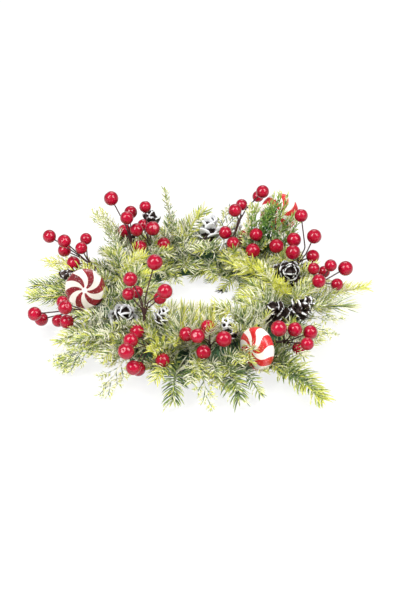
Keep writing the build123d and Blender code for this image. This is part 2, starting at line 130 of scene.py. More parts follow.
# The ring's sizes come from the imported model, in metres
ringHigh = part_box("base_ring")[1]
ringPlace = {
    "innerRadius": frame["record"]["mounts"][1]["dims"]["r_mm"] / 1000,
    "outerRadius": ringHigh.x,
    "height": ringHigh.z,
    "foliageWidth": 0.095,
    "crownRise": 0.074,
    "socketDepth": 0.009,
}


def polar(reach, angle, height):
    turn = math.radians(angle)
    return Vector((reach * math.cos(turn), reach * math.sin(turn), height))


def crownPoint(angle, widthShare, riseShare):
    # a point in the foliage, by shares of its width and its rise over the ring
    reach = ringPlace["innerRadius"] + widthShare * ringPlace["foliageWidth"]
    return polar(reach, angle, ringPlace["height"] + riseShare * ringPlace["crownRise"])


def ringSeat(angle, bandShare, heightShare=1):
    # a point on the foam ring, by shares of its band and its height
    band = ringPlace["outerRadius"] - ringPlace["innerRadius"]
    reach = ringPlace["innerRadius"] + bandShare * band
    return polar(reach, angle, ringPlace["height"] * heightShare)


def frameAlong(origin, direction, upper):
    # a matrix whose X runs along direction and whose Z is nearest to upper
    along = direction.normalized()
    side = upper.cross(along).normalized()
    up = along.cross(side)
    turn = Matrix((along, side, up)).transposed().to_4x4()
    turn.translation = origin
    return turn


def coneAlong(work, start, direction, length, startRadius, endRadius, sides=3, flat=1.0):
    # a cone or spike from start, flattened by a share across its own Y
    turn = direction.to_track_quat("Z", "Y").to_matrix().to_4x4()
    shift = Matrix.Translation(start + direction * (length / 2))
    squeeze = Matrix.Diagonal((1, flat, 1, 1))
    made = bmesh.ops.create_cone(
        work, cap_ends=True, segments=sides, radius1=startRadius, radius2=endRadius, depth=length,
        matrix=shift @ turn @ squeeze,
    )
    return made["verts"]


# Foliage. Patterns are sized in millimetres, and 1000 over a size is the scale of its texture
needleFinish = {
    "shader": {"Roughness": 0.5},
    "mottle": 4.0,  # mm across a patch of lighter or darker green
    "mottleShare": 0.3,
    "flock": 2.2,  # mm: real flock is as fine as flour, so it is drawn as coarse as it needs to show
    "flockEdge": (0.42, 0.6),
    "flockCover": 0.9,
    "white": "#f3f1dc",
    "bump": {"Strength": 0.3, "Distance": 0.0004},
}
frostedGreens = (
    (0.0, "#33291f"),
    (0.12, "#2c4426"),
    (0.3, "#56703f"),
    (0.5, "#93a55e"),
    (0.72, "#c9cc5c"),
    (1.0, "#e4e562"),
)
freshGreens = (
    (0.0, "#3b3327"),
    (0.14, "#1c4224"),
    (0.36, "#3d7030"),
    (0.6, "#7ea446"),
    (0.82, "#c3cb6c"),
    (1.0, "#e6e3a6"),
)


def foliageMaterial(name, greens=frostedGreens):
    # moulded polyethylene, satin and dark at the root, yellow at the tip, under sprayed white flock
    look = needleFinish
    material, tree, shader = newMaterial(name, look["shader"])
    place = addNode(tree, "TexCoord").outputs["Object"]
    tone = addNode(tree, "Attribute", attribute_name="tone").outputs["Fac"]
    frost = addNode(tree, "Attribute", attribute_name="frost").outputs["Fac"]
    grain = addNode(tree, "TexNoise", {"Vector": place, "Scale": 1000 / look["mottle"], "Detail": 3.0})
    patch = addNode(tree, "Math", {0: grain, 1: 0.5}, operation="SUBTRACT")
    shade = addNode(tree, "Math", {0: patch, 1: look["mottleShare"], 2: tone}, operation="MULTIPLY_ADD")
    green = addNode(tree, "ValToRGB", {0: shade}, greens)
    flock = addNode(tree, "TexNoise", {"Vector": place, "Scale": 1000 / look["flock"], "Detail": 4.0})
    speck = addNode(tree, "Math", {0: flock, 1: 0.5}, operation="SUBTRACT")
    level = addNode(tree, "Math", {0: frost, 1: speck}, operation="ADD")
    bare, full = look["flockEdge"]
    cover = addNode(tree, "MapRange", {0: level, 1: bare, 2: full, 4: look["flockCover"]})
    colour = addNode(tree, "Mix", {0: cover, 6: green, 7: linearColour(look["white"])}, data_type="RGBA")
    bump = addNode(tree, "Bump", {"Height": flock, **look["bump"]})
    setSockets(shader, {"Base Color": colour.outputs[2], "Normal": bump})
    return material


# Sprig shapes in metres and degrees: a stem's length and its bow, the gap between needles or the count
# and length of its side twigs, a needle's or leaf's length and width, the share of the stem that is
# bare, and the angles that needles open by at its two ends
kindColumns = {
    "needled": ("length", "bow", "gap", "needle", "width", "bare", "open"),
    "leafy": ("length", "bow", "count", "twig", "leaf", "leafWidth", "bare"),
    "airy": ("length", "bow", "count", "twig", "leaf", "bare"),
}
sprigKinds = {
    "longSpruce": ("needled", 0.07, 0.007, 0.00064, 0.0195, 0.0017, 0.1, (80, 46)),
    "spruce": ("needled", 0.043, 0.007, 0.0006, 0.0175, 0.0017, 0.1, (80, 46)),
    "droopingSpruce": ("needled", 0.04, 0.007, 0.00062, 0.0135, 0.0013, 0.1, (78, 40)),
    "bushySpruce": ("needled", 0.042, 0.007, 0.00062, 0.02, 0.0015, 0.1, (76, 40)),
    "reachingSpruce": ("needled", 0.062, 0.003, 0.0005, 0.016, 0.00135, 0.3, (76, 42)),
    "tuft": ("needled", 0.026, 0.004, 0.00042, 0.0125, 0.0012, 0.08, (80, 44)),
    "spray": ("needled", 0.034, 0.005, 0.00046, 0.014, 0.0013, 0.08, (80, 42)),
    "pine": ("needled", 0.04, 0.005, 0.00042, 0.025, 0.001, 0.3, (58, 18)),
    "softPine": ("needled", 0.032, 0.005, 0.0004, 0.018, 0.0011, 0.1, (62, 24)),
    "juniper": ("leafy", 0.05, 0.003, 12, 0.012, 0.005, 0.0011, 0.12),
    "tallJuniper": ("leafy", 0.063, 0.003, 13, 0.012, 0.005, 0.0011, 0.16),
    "leafyCedar": ("leafy", 0.058, 0.006, 22, 0.019, 0.0056, 0.0007, 0.14),
    "uprightCedar": ("leafy", 0.058, 0.006, 26, 0.011, 0.0048, 0.0007, 0.14),
    "cedar": ("airy", 0.047, 0.006, 9, 0.02, 0.003, 0.2),
    "smallCedar": ("airy", 0.03, 0.004, 6, 0.013, 0.0026, 0.2),
    "shortCedar": ("airy", 0.036, 0.006, 8, 0.016, 0.0029, 0.2),
}
goldenTurn = 137.5  # degrees from one needle, leaf or scale to the next
stemShape = {
    "radius": 0.0008, "tipRadius": 0.0004, "sides": 6, "steps": 8, "startShare": 0.03,
    "footTone": (0.15, 0.0), "tone": (0.18, 0.12),
}
needleShape = {
    "bends": (0.0, 0.32, 0.75), "shares": (0.42, 0.33, 0.25), "widths": (0.8, 1.0, 0.8, 0.12),
    "flat": 0.6, "toneStep": 0.09, "frostStep": 0.05,
}
needledShape = {
    "rollFrom": -26, "rollOver": 232, "sway": (-8, 8), "closing": 1.6, "taper": 0.32,
    "sizes": (0.75, 1.05), "widths": (0.85, 1.1), "rise": 0.32, "tones": (-0.05, 0.05), "frostFall": 0.1,
    # added tone and frost of dark, plain, frosted and bright needles
    "moods": ((-0.12, -0.3), (0.0, -0.2), (0.08, 0.02), (0.14, 0.26), (0.2, 0.36), (0.28, -0.25)),
}
leafyShape = {
    "rollFrom": -10, "rollOver": 200, "open": 44, "closing": 0.5, "sway": (-5, 5), "taper": 0.45,
    "sizes": (0.85, 1.05), "twigRadii": (0.0005, 0.00025), "twigSides": 4, "twigTone": 0.15, "rise": 0.35,
    "twigFrost": -0.1, "leafGap": 0.0017, "fewest": 3, "leafStart": 0.6, "leafOpen": 40,
    "leafClosing": 0.4, "leafTaper": 0.35, "leafSizes": (0.8, 1.1), "leafTip": 0.0002, "flat": 0.7,
    "leafTone": 0.12, "leafTones": (-0.1, 0.15), "leafFrosts": (-0.25, 0.3),
}
airyShape = {
    "sway": (-20, 20), "open": 50, "closing": 0.7, "openSway": (-6, 6), "taper": 0.4,
    "sizes": (0.8, 1.05), "twigRadii": (0.0005, 0.0003), "twigSides": 4, "twigTone": (-0.02, -0.15),
    "sideGap": 0.0025, "fewest": 4, "sideStart": 0.35, "sideOpen": 42, "sideSway": (-35, 35),
    "sideShare": 0.26, "sideSizes": (0.7, 1.2), "sideRadii": (0.0003, 0.0002), "sideTone": (0.1, -0.15),
    "leaves": 5, "leafOpen": 30, "leafStagger": 8, "leafSway": (-20, 20), "leafStart": 0.45,
    "leafStep": 0.14, "leafSizes": (0.8, 1.25), "leafRadii": (0.00062, 0.0002), "flat": 0.8,
    "leafTone": 0.3, "leafTones": (-0.12, 0.3), "leafFrosts": (-0.25, 0.15),
}


def linePoint(kind, share):
    return Vector((kind["length"] * share, 0, kind["bow"] * math.sin(math.pi * share)))


def lineWay(kind, share):
    step = 0.02
    return (linePoint(kind, share + step) - linePoint(kind, share - step)).normalized()


def stemSteps(kind, count):
    # even steps along the clothed part of the stem, with the point there and the stem's way
    for index in range(count):
        step = index / (count - 1)
        share = kind["bare"] + (1 - kind["bare"]) * step
        yield index, step, linePoint(kind, share), lineWay(kind, share)


def markTone(verts, layers, tone, frost, rootTone=None):
    # the first half of a spike's corners is its root
    half = len(verts) // 2
    for place, vert in enumerate(verts):
        vert[layers[0]] = tone if rootTone is None or place >= half else rootTone
        vert[layers[1]] = frost


def stemOf(work, layers, kind):
    # a foot down the ring's socket, then the bowed stem in short lengths
    thick, thin, sides = stemShape["radius"], stemShape["tipRadius"], stemShape["sides"]
    first = lineWay(kind, stemShape["startShare"])
    depth = ringPlace["socketDepth"]
    verts = coneAlong(work, first * -depth, first, depth, thick, thick, sides)
    markTone(verts, layers, *stemShape["footTone"])
    for step in range(stemShape["steps"]):
        low, high = step / stemShape["steps"], (step + 1) / stemShape["steps"]
        start, end = linePoint(kind, low), linePoint(kind, high)
        radii = [thick + (thin - thick) * share for share in (low, high)]
        way = (end - start).normalized()
        verts = coneAlong(work, start, way, (end - start).length, *radii, sides)
        markTone(verts, layers, *stemShape["tone"])


def spread(way, openAngle, roll):
    # opened away from way, rolled round it from its side
    side = Vector((0, 0, 1)).cross(way).normalized()
    up = way.cross(side)
    turn = math.radians(openAngle)
    around = math.radians(roll)
    return way * math.cos(turn) + (side * math.cos(around) + up * math.sin(around)) * math.sin(turn)


def needle(work, layers, start, way, towards, length, width, tone, frost):
    # three short spikes, each bent further towards the sprig's tip, greener at the root
    shape = needleShape
    for place, (share, bend) in enumerate(zip(shape["shares"], shape["bends"])):
        turned = (way + towards * bend).normalized()
        radii = [width * part for part in shape["widths"][place:place + 2]]
        verts = coneAlong(work, start, turned, length * share, *radii, flat=shape["flat"])
        rootTone = tone + shape["toneStep"] * place
        tipTone = tone + shape["toneStep"] * (place + 1)
        markTone(verts, layers, tipTone, frost - shape["frostStep"] * place, rootTone)
        start = start + turned * length * share


def needledSprig(work, layers, kind, dice):
    # needles on a spiral over the top and sides of the stem
    shape = needledShape
    openFirst, openLast = kind["open"]
    count = round(kind["length"] * (1 - kind["bare"]) / kind["gap"])
    for index, step, root, towards in stemSteps(kind, count):
        openAngle = openFirst + (openLast - openFirst) * step ** shape["closing"]
        openAngle += dice.uniform(*shape["sway"])
        roll = shape["rollFrom"] + (index * goldenTurn) % shape["rollOver"] + dice.uniform(*shape["sway"])
        size = kind["needle"] * (1 - shape["taper"] * step) * dice.uniform(*shape["sizes"])
        tone, frost = dice.choice(shape["moods"])
        tone = tone + shape["rise"] * step + dice.uniform(*shape["tones"])
        frost -= shape["frostFall"] * step
        width = kind["width"] / 2 * dice.uniform(*shape["widths"])
        way = spread(towards, openAngle, roll)
        needle(work, layers, root, way, towards, size, width, tone, frost)


def leafySprig(work, layers, kind, dice):
    # side twigs all round the stem, each closely set with small leaves
    shape = leafyShape
    for index, step, root, towards in stemSteps(kind, kind["count"]):
        roll = shape["rollFrom"] + (index * goldenTurn) % shape["rollOver"]
        openAngle = shape["open"] * (1 - shape["closing"] * step) + dice.uniform(*shape["sway"])
        way = spread(towards, openAngle, roll)
        size = kind["twig"] * (1 - shape["taper"] * step) * dice.uniform(*shape["sizes"])
        tone = shape["twigTone"] + shape["rise"] * step
        verts = coneAlong(work, root, way, size, *shape["twigRadii"], shape["twigSides"])
        markTone(verts, layers, tone, shape["twigFrost"])
        leaves = max(shape["fewest"], round(size / shape["leafGap"]))
        for leaf in range(leaves):
            share = (leaf + shape["leafStart"]) / leaves
            openAngle = shape["leafOpen"] * (1 - shape["leafClosing"] * share)
            leafWay = spread(way, openAngle, (leaf * goldenTurn) % 360)
            length = kind["leaf"] * (1 - shape["leafTaper"] * share) * dice.uniform(*shape["leafSizes"])
            radii = kind["leafWidth"], shape["leafTip"]
            place = root + way * size * share
            verts = coneAlong(work, place, leafWay, length, *radii, flat=shape["flat"])
            leafTone = tone + shape["leafTone"] + dice.uniform(*shape["leafTones"])
            markTone(verts, layers, leafTone, dice.uniform(*shape["leafFrosts"]))


def airySprig(work, layers, kind, dice):
    # thin side twigs in one plane, with small clusters of blunt leaves out at their ends
    shape = airyShape
    for index, step, root, towards in stemSteps(kind, kind["count"]):
        roll = (0 if index % 2 else 180) + dice.uniform(*shape["sway"])
        openAngle = shape["open"] * (1 - shape["closing"] * step) + dice.uniform(*shape["openSway"])
        way = spread(towards, openAngle, roll)
        size = kind["twig"] * (1 - shape["taper"] * step) * dice.uniform(*shape["sizes"])
        verts = coneAlong(work, root, way, size, *shape["twigRadii"], shape["twigSides"])
        markTone(verts, layers, *shape["twigTone"])
        sides = max(shape["fewest"], round(size / shape["sideGap"]))
        for number in range(sides):
            share = shape["sideStart"] + (1 - shape["sideStart"]) * (number + 1) / sides
            side = spread(way, shape["sideOpen"], 180 * (number % 2) + dice.uniform(*shape["sideSway"]))
            length = size * shape["sideShare"] * dice.uniform(*shape["sideSizes"])
            start = root + way * size * share
            verts = coneAlong(work, start, side, length, *shape["sideRadii"])
            markTone(verts, layers, *shape["sideTone"])
            for leaf in range(shape["leaves"]):
                openAngle = shape["leafOpen"] + shape["leafStagger"] * (leaf % 2)
                leafWay = spread(side, openAngle, leaf * goldenTurn + dice.uniform(*shape["leafSway"]))
                place = start + side * length * (shape["leafStart"] + shape["leafStep"] * leaf)
                leafSize = kind["leaf"] * dice.uniform(*shape["leafSizes"])
                radii = shape["leafRadii"]
                verts = coneAlong(work, place, leafWay, leafSize, *radii, flat=shape["flat"])
                leafTone = shape["leafTone"] + dice.uniform(*shape["leafTones"])
                markTone(verts, layers, leafTone, dice.uniform(*shape["leafFrosts"]))


def sprigMesh(kindName, seed):
    # one sprig along X with its seat at the origin
    form, *sizes = sprigKinds[kindName]
    kind = dict(zip(kindColumns[form], sizes))
    dice = random.Random(f"{kindName} {seed}")
    work = bmesh.new()
    layers = (work.verts.layers.float.new("tone"), work.verts.layers.float.new("frost"))
    stemOf(work, layers, kind)
    forms = {"needled": needledSprig, "leafy": leafySprig, "airy": airySprig}
    forms[form](work, layers, kind, dice)
    return meshFrom(work, f"{kindName}{seed}")


foliageLook = {"variants": 3, "lean": 0.3, "frost": 0.5}
sprigMeshes = {
    name: [sprigMesh(name, seed) for seed in range(foliageLook["variants"])] for name in sprigKinds
}
print("sprig shapes made")

# Sprigs by CAD node: kind, seat on the ring, the crown point it reaches towards, tone and frost
sprigPlaces = {
    "front_spruce_sprigs": (
        ("longSpruce", (-54, 1, 0.6), (-53.5, 1.0, -0.07), 0.14, -0.24),
        ("droopingSpruce", (-72, 1, 0.35), (-68, 0.68, -0.1), 0.05, -0.18),
        ("spruce", (-77, 1, 0.6), (-76, 0.75, -0.06), 0.04, -0.16),
        ("spruce", (-102, 1, 0.6), (-100, 0.64, -0.06), 0.0, -0.18),
        ("spray", (-104, 0.95, 0.9), (-106, 0.42, 0.02), 0.3, -0.2),
        ("spray", (-92, 1, 0.6), (-93, 0.42, 0.0), 0.1, 0.0),
        ("spray", (-60, 1, 0.6), (-58, 0.48, -0.02), 0.12, -0.05),
        ("bushySpruce", (-55, 1, 0.5), (-53, 0.7, -0.09), 0.08, -0.24),
        ("longSpruce", (-52, 1, 0.5), (-52, 0.92, -0.1), 0.18, -0.28),
        ("bushySpruce", (-102, 1, 0.5), (-100, 0.62, -0.09), -0.05, -0.2),
        ("bushySpruce", (-78, 1, 0.5), (-76.5, 0.72, -0.09), 0.0, -0.2),
        ("tuft", (-90, 1, 0.9), (-89, 0.42, 0.04), 0.1, 0.0),
        ("tuft", (-85, 1, 0.9), (-84, 0.42, 0.06), 0.1, 0.05),
        ("tuft", (-79, 1, 0.9), (-78, 0.42, 0.04), 0.1, 0.0),
        ("spray", (-46, 1, 0.6), (-45, 0.48, 0.02), 0.12, 0.0),
    ),
    "left_spruce_sprigs": (
        ("reachingSpruce", (172, 1, 0.5), (174.5, 0.87, -0.04), 0.28, -0.15),
        ("spruce", (-154, 1, 0.6), (-154, 0.68, -0.03), 0.15, 0.05),
        ("tuft", (-145, 0.8), (-140, 0.5, 0.05), 0.1, 0.08),
        ("spray", (-153, 0.9), (-153, 0.36, 0.14), 0.12, 0.08),
        ("spray", (-160, 1, 0.6), (-160, 0.46, -0.08), 0.2, 0.02),
        ("spray", (-140, 0.9), (-137, 0.37, 0.16), 0.08, 0.12),
        ("spray", (-146, 1, 0.8), (-146, 0.5, 0.06), 0.12, 0.05),
        ("spray", (-132, 1, 0.8), (-131, 0.44, 0.04), 0.12, 0.08),
        ("spruce", (166, 1, 0.8), (166, 0.7, 0.14), 0.35, -0.15),
        ("spruce", (176, 1, 0.6), (178, 0.7, 0.02), 0.15, -0.12),
        ("spruce", (173, 1, 0.5), (174, 0.74, -0.04), 0.18, -0.15),
        ("bushySpruce", (170, 1, 0.5), (171.5, 0.76, 0.02), 0.2, -0.1),
        ("bushySpruce", (174, 1, 0.5), (176, 0.74, 0.05), 0.05, -0.1),
        ("bushySpruce", (168, 1, 0.6), (169, 0.74, 0.08), 0.05, -0.1),
        ("reachingSpruce", (169, 1, 0.55), (171.5, 0.83, 0.02), 0.06, -0.15),
        ("reachingSpruce", (176, 1, 0.5), (177.5, 0.83, -0.02), 0.06, -0.15),
    ),
    "right_spruce_sprigs": (
        ("reachingSpruce", (3, 1, 0.5), (8, 0.87, 0.0), 0.42, -0.12),
        ("tuft", (-3, 0.4), (-12, 0.1, 0.22), 0.6, -0.2),
        ("spray", (0, 0.4), (-9, 0.05, 0.26), 0.62, -0.25),
    ),
    "back_spruce_sprigs": (
        ("spruce", (104, 0.8), (90, 0.4, 0.33), 0.2, 0.0),
        ("tuft", (97, 0.8), (99, 0.5, 0.22), 0.05, 0.1),
        ("spray", (42, 0.95), (41, 0.5, 0.4), 0.0, 0.25),
        ("spray", (112, 0.9), (106, 0.45, 0.2), 0.05, 0.1),
    ),
    "inner_spruce_sprigs": (
        ("bushySpruce", (-52, 0.25), (-83, -0.14, 0.51), 0.15, 0.02),
        ("longSpruce", (4, 0.2), (68, -0.03, 0.1), 0.68, -0.22),
        ("tuft", (152, 0.35), (137, -0.02, 0.35), 0.5, -0.12),
        ("tuft", (140, 0.2), (112, -0.03, 0.06), 0.45, -0.1),
        ("spray", (170, 0.2), (172, -0.2, 0.3), 0.45, -0.1),
        ("spray", (158, 0.3), (155, -0.06, 0.38), 0.5, -0.15),
        ("spray", (-172, 0.2), (-172, -0.22, 0.2), 0.1, 0.12),
        ("spray", (-179, 0.1), (-179, -0.24, 0.1), 0.15, 0.1),
        ("spray", (-113, 0.6), (-112, 0.3, 0.15), 0.4, -0.25),
        ("spray", (-34, 0.2), (-42, -0.16, 0.24), 0.15, 0.05),
        ("spray", (-18, 0.2), (-24, -0.18, 0.2), 0.2, 0.02),
        ("spray", (28, 0.2), (34, -0.15, 0.16), 0.5, -0.15),
    ),
    "pine_sprigs": (
        ("pine", (-8, 1, 0.6), (-4.5, 0.71, 0.03), 0.1, 0.06),
        ("softPine", (-104, 0.2), (-104, -0.11, 0.49), 0.2, 0.2),
        ("softPine", (-93, 0.15), (-89, -0.2, 0.3), 0.3, 0.15),
        ("softPine", (-98, 0.2), (-97, -0.15, 0.36), 0.25, 0.2),
        ("softPine", (-84, 0.2), (-79, -0.12, 0.3), 0.28, 0.15),
        ("softPine", (-116, 0.2), (-121, -0.18, 0.2), 0.2, 0.15),
    ),
    "left_cedar_sprigs": (
        ("leafyCedar", (155, 1, 0.6), (160, 0.87, 0.11), 0.35, -0.1),
        ("cedar", (-147, 1, 0.5), (-141.5, 0.8, -0.08), 0.3, 0.1),
        ("cedar", (-131, 1, 0.5), (-123.5, 0.75, -0.08), 0.25, 0.12),
        ("cedar", (-145, 1, 0.5), (-144, 0.72, -0.06), 0.2, 0.0),
        ("cedar", (-150, 1, 0.5), (-147, 0.74, -0.07), 0.25, 0.0),
    ),
    "front_cedar_sprigs": (
        ("shortCedar", (-91, 1, 0.5), (-88, 0.6, -0.08), 0.35, 0.05),
    ),
    "right_cedar_sprigs": (
        ("smallCedar", (-14, 1, 0.5), (-12.5, 0.48, -0.03), 0.25, 0.08),
        ("smallCedar", (-25, 1, 0.5), (-22.5, 0.52, -0.03), 0.25, 0.08),
        ("shortCedar", (14, 1, 0.35), (15, 0.77, 0.0), 0.25, 0.05),
    ),
    "back_cedar_sprigs": (
        ("leafyCedar", (146, 0.6), (140, 0.56, 0.43), 0.05, 0.05),
        ("leafyCedar", (141, 1, 0.65), (133, 0.7, 0.38), 0.12, 0.02),
        ("uprightCedar", (108, 0.7), (109.5, 0.33, 0.84), 0.0, 0.02),
        ("shortCedar", (76, 1, 0.7), (76, 0.5, 0.33), 0.15, 0.1),
    ),
    "juniper_sprigs": (
        ("juniper", (53.5, 1, 0.8), (52.5, 0.42, 0.68), 0.12, -0.2),
        ("juniper", (44, 0.9), (43.5, 0.41, 0.7), 0.18, -0.2),
        ("juniper", (40, 0.85), (38, 0.56, 0.57), 0.1, -0.18),
        ("juniper", (52, 0.6), (57.5, 0.22, 0.74), 0.05, -0.2),
        ("juniper", (53, 0.6), (55, 0.25, 0.72), 0.15, -0.2),
        ("tallJuniper", (48, 0.8), (46, 0.4, 0.8), 0.05, -0.25),
        ("tallJuniper", (46, 0.8), (44, 0.44, 0.76), 0.05, -0.25),
        ("tallJuniper", (50, 0.6), (48.5, 0.35, 0.79), 0.08, -0.25),
        ("tallJuniper", (49, 0.6), (47, 0.37, 0.74), 0.0, -0.3),
        ("juniper", (50, 0.6), (50, 0.33, 0.64), 0.0, -0.25),
        ("juniper", (46, 0.7), (41.5, 0.47, 0.56), 0.1, -0.2),
        ("juniper", (45, 0.7), (40.5, 0.49, 0.49), 0.2, 0.0),
        ("juniper", (44, 0.6), (43.5, 0.44, 0.4), 0.05, -0.15),
        ("juniper", (55, 0.5), (58.5, 0.2, 0.6), 0.5, -0.05),
        ("juniper", (56, 0.5), (56, 0.22, 0.56), 0.45, -0.15),
        ("juniper", (49, 0.4), (49, 0.28, 0.42), 0.05, -0.2),
        ("juniper", (52, 0.4), (52, 0.24, 0.4), 0.15, -0.15),
    ),
    "outer_tufts": (
        ("tuft", (-38, 1, 0.7), (-36, 0.5, 0.02), 0.1, 0.08),
        ("tuft", (-85, 1, 0.7), (-84, 0.5, 0.02), 0.1, 0.05),
        ("tuft", (-112, 1, 0.6), (-110, 0.5, 0.0), 0.1, 0.05),
        ("tuft", (-138, 1, 0.7), (-136, 0.5, 0.04), 0.1, 0.08),
        ("tuft", (-166, 1, 0.7), (-172, 0.5, 0.0), 0.1, 0.08),
        ("tuft", (149, 1, 0.7), (150, 0.5, 0.02), 0.1, 0.08),
        ("tuft", (132, 1, 0.7), (136, 0.5, 0.0), 0.1, 0.08),
        ("tuft", (118, 1, 0.7), (120, 0.5, 0.04), 0.1, 0.08),
        ("tuft", (103, 1, 0.7), (101, 0.5, 0.0), 0.1, 0.08),
        ("tuft", (88, 1, 0.5), (88, 0.5, -0.03), 0.1, 0.08),
        ("tuft", (71, 1, 0.7), (68, 0.5, 0.0), 0.1, 0.08),
        ("tuft", (59, 1, 0.5), (60, 0.5, 0.0), 0.1, 0.08),
        ("tuft", (36, 1, 0.7), (38, 0.5, 0.04), 0.1, 0.08),
        ("tuft", (28, 1, 0.6), (29, 0.5, 0.0), 0.1, 0.08),
    ),
    "inner_tufts": (
        ("tuft", (-15, 0.15), (-1, 0.02, 0.13), 0.3, 0.0),
        ("tuft", (-81, 0.15), (-93, 0.02, 0.13), 0.15, 0.1),
        ("tuft", (-133, 0.15), (-120, 0.02, 0.1), 0.1, 0.12),
        ("tuft", (-160, 0.15), (-176, 0.02, 0.13), 0.15, 0.1),
        ("tuft", (178, 0.15), (166, 0.02, 0.13), 0.2, 0.08),
        ("tuft", (110, 0.15), (98, 0.02, 0.13), 0.1, 0.12),
        ("tuft", (94, 0.15), (84, 0.02, 0.13), 0.1, 0.12),
        ("tuft", (42, 0.4), (33, 0.12, 0.13), 0.3, 0.0),
    ),
    "top_tufts": (
        ("tuft", (-10, 0.6), (-12, 0.3, 0.3), 0.15, 0.05),
        ("tuft", (-37, 0.8), (-34, 0.45, 0.1), 0.1, 0.08),
        ("tuft", (-104, 0.6), (-104, 0.3, 0.3), 0.35, -0.05),
        ("tuft", (-138, 0.6), (-136, 0.3, 0.3), 0.1, 0.12),
        ("tuft", (-170, 0.5), (-165, 0.2, 0.3), 0.1, 0.12),
        ("tuft", (150, 0.6), (148, 0.25, 0.3), 0.15, 0.08),
        ("tuft", (118, 0.6), (120, 0.2, 0.3), 0.1, 0.1),
        ("tuft", (101, 0.35), (105, 0.1, 0.25), 0.1, 0.12),
    ),
}

# By a word in the node's name: its slot and material
sprigFamilies = {
    "spruce": ("spruce_needle", foliageMaterial("moulded spruce needles")),
    "pine": ("pine_needle", foliageMaterial("moulded pine needles")),
    "cedar": ("cedar_leaf", foliageMaterial("moulded cedar leaves")),
    "juniper": ("juniper_leaf", foliageMaterial("moulded juniper leaves", freshGreens)),
    "tufts": ("frosted_needle", foliageMaterial("frosted needles")),
}

# Rows of small tufts that clothe the ring between the sprigs: kind, how many, the seat's band and height
# shares, and the spread of the crown points' width and rise that they reach towards
coverRows = {
    "outer_tufts": (
        ("tuft", 46, 1.0, 0.35, (0.34, 0.5), (-0.14, 0.0)),
        ("tuft", 40, 0.95, 0.95, (0.3, 0.46), (0.06, 0.22)),
    ),
    "top_tufts": (
        ("tuft", 40, 0.65, 1.0, (0.12, 0.34), (0.24, 0.38)),
    ),
    "inner_tufts": (
        ("spray", 32, 0.25, 1.0, (-0.18, -0.02), (0.1, 0.3)),
        ("tuft", 64, 0.0, 0.6, (-0.12, -0.03), (-0.18, 0.02)),
    ),
}
coverLook = {
    "turn": 5.0, "swing": 14.0, "tone": (-0.02, 0.22), "frost": (-0.06, 0.18),
    # left clear for a wall, a candy, cones or berries: lowest rise, from and to angle
    "clearings": {
        "outer_tufts": ((0.05, -180, -160), (0.05, 172, 180), (0.05, -42, -28)),
        "top_tufts": (
            (0.0, -180, -164), (0.0, 112, 126), (0.0, 76, 92), (0.0, 8, 20), (0.0, -36, -14),
            (0.0, -152, -140), (0.0, -74, -62),
        ),
        "inner_tufts": (
            (-1.0, 88, 101), (0.05, 6, 18), (0.05, -38, -26), (0.05, -152, -138), (0.05, -76, -66),
            (0.05, -128, -118),
        ),
    },
    # warm yellow-green patches: from, to, added tone
    "patches": ((-125, -60, 0.12), (-10, 60, 0.15), (-60, -10, 0.08), (140, 200, 0.06)),
}


def coverTufts(nodeName):
    # seats evenly stepped round the ring, each shifted a little by chance
    dice = random.Random(nodeName)
    rows = []
    for kindName, count, band, height, widths, rises in coverRows.get(nodeName, ()):
        for index in range(count):
            angle = index * 360 / count - 180 + dice.uniform(-1, 1) * coverLook["turn"]
            swing = dice.uniform(-1, 1) * coverLook["swing"]
            aim = (angle + swing, dice.uniform(*widths), dice.uniform(*rises))
            tone, frost = dice.uniform(*coverLook["tone"]), dice.uniform(*coverLook["frost"])
            clearings = coverLook["clearings"][nodeName]
            if any(aim[2] > rise and low < angle < high for rise, low, high in clearings):
                continue
            for first, last, extra in coverLook["patches"]:
                if first < angle < last:
                    tone, frost = tone + extra, frost - extra / 2
            rows.append((kindName, (angle, band, height), aim, tone, frost))
    return tuple(rows)


# Where the left candy's open face looks, in degrees, and how far round it needles are combed away
combLook = {
    "node": "left_candy", "facing": -92, "tilt": 22, "radius": 0.0182, "ahead": 0.026, "behind": 0.004
}


def combAside(work):
    # needles over the open candy's face are combed out to its rim
    low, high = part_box(combLook["node"])
    centre = (low + high) / 2
    turn, tilt = math.radians(combLook["facing"]), math.radians(combLook["tilt"])
    face = Vector((math.cos(tilt) * math.cos(turn), math.cos(tilt) * math.sin(turn), math.sin(tilt)))
    for vert in work.verts:
        away = vert.co - centre
        depth = away.dot(face)
        across = away - face * depth
        if -combLook["behind"] < depth < combLook["ahead"] and across.length < combLook["radius"]:
            vert.co += across.normalized() * (combLook["radius"] - across.length)


def keepInBox(work):
    # a needle tip that would pass the CAD model's box ends at it
    low, high = cadBox
    for vert in work.verts:
        for axis in range(3):
            vert.co[axis] = min(max(vert.co[axis], low[axis]), high[axis])


def placedSprigs(nodeName, rows):
    # each row's sprig is stood on its seat and aimed at its crown point
    slot, material = next(pair for word, pair in sprigFamilies.items() if word in nodeName)
    work = bmesh.new()
    toneLayer = work.verts.layers.float.new("tone")
    frostLayer = work.verts.layers.float.new("frost")
    for index, (kindName, seatPlace, aimPlace, tone, frost) in enumerate(rows):
        seat = ringSeat(*seatPlace)
        chord = crownPoint(*aimPlace) - seat
        upper = Vector((0, 0, 1)) - polar(foliageLook["lean"], seatPlace[0], 0)
        place = frameAlong(seat, chord, upper)
        before = len(work.verts)
        work.from_mesh(sprigMeshes[kindName][index % foliageLook["variants"]])
        work.verts.ensure_lookup_table()
        added = work.verts[before:]
        bmesh.ops.transform(work, matrix=place, verts=added)
        for vert in added:
            vert[toneLayer] += tone
            vert[frostLayer] += frost + foliageLook["frost"]
    combAside(work)
    keepInBox(work)
    finishPiece(work, nodeName, material, smooth=False)


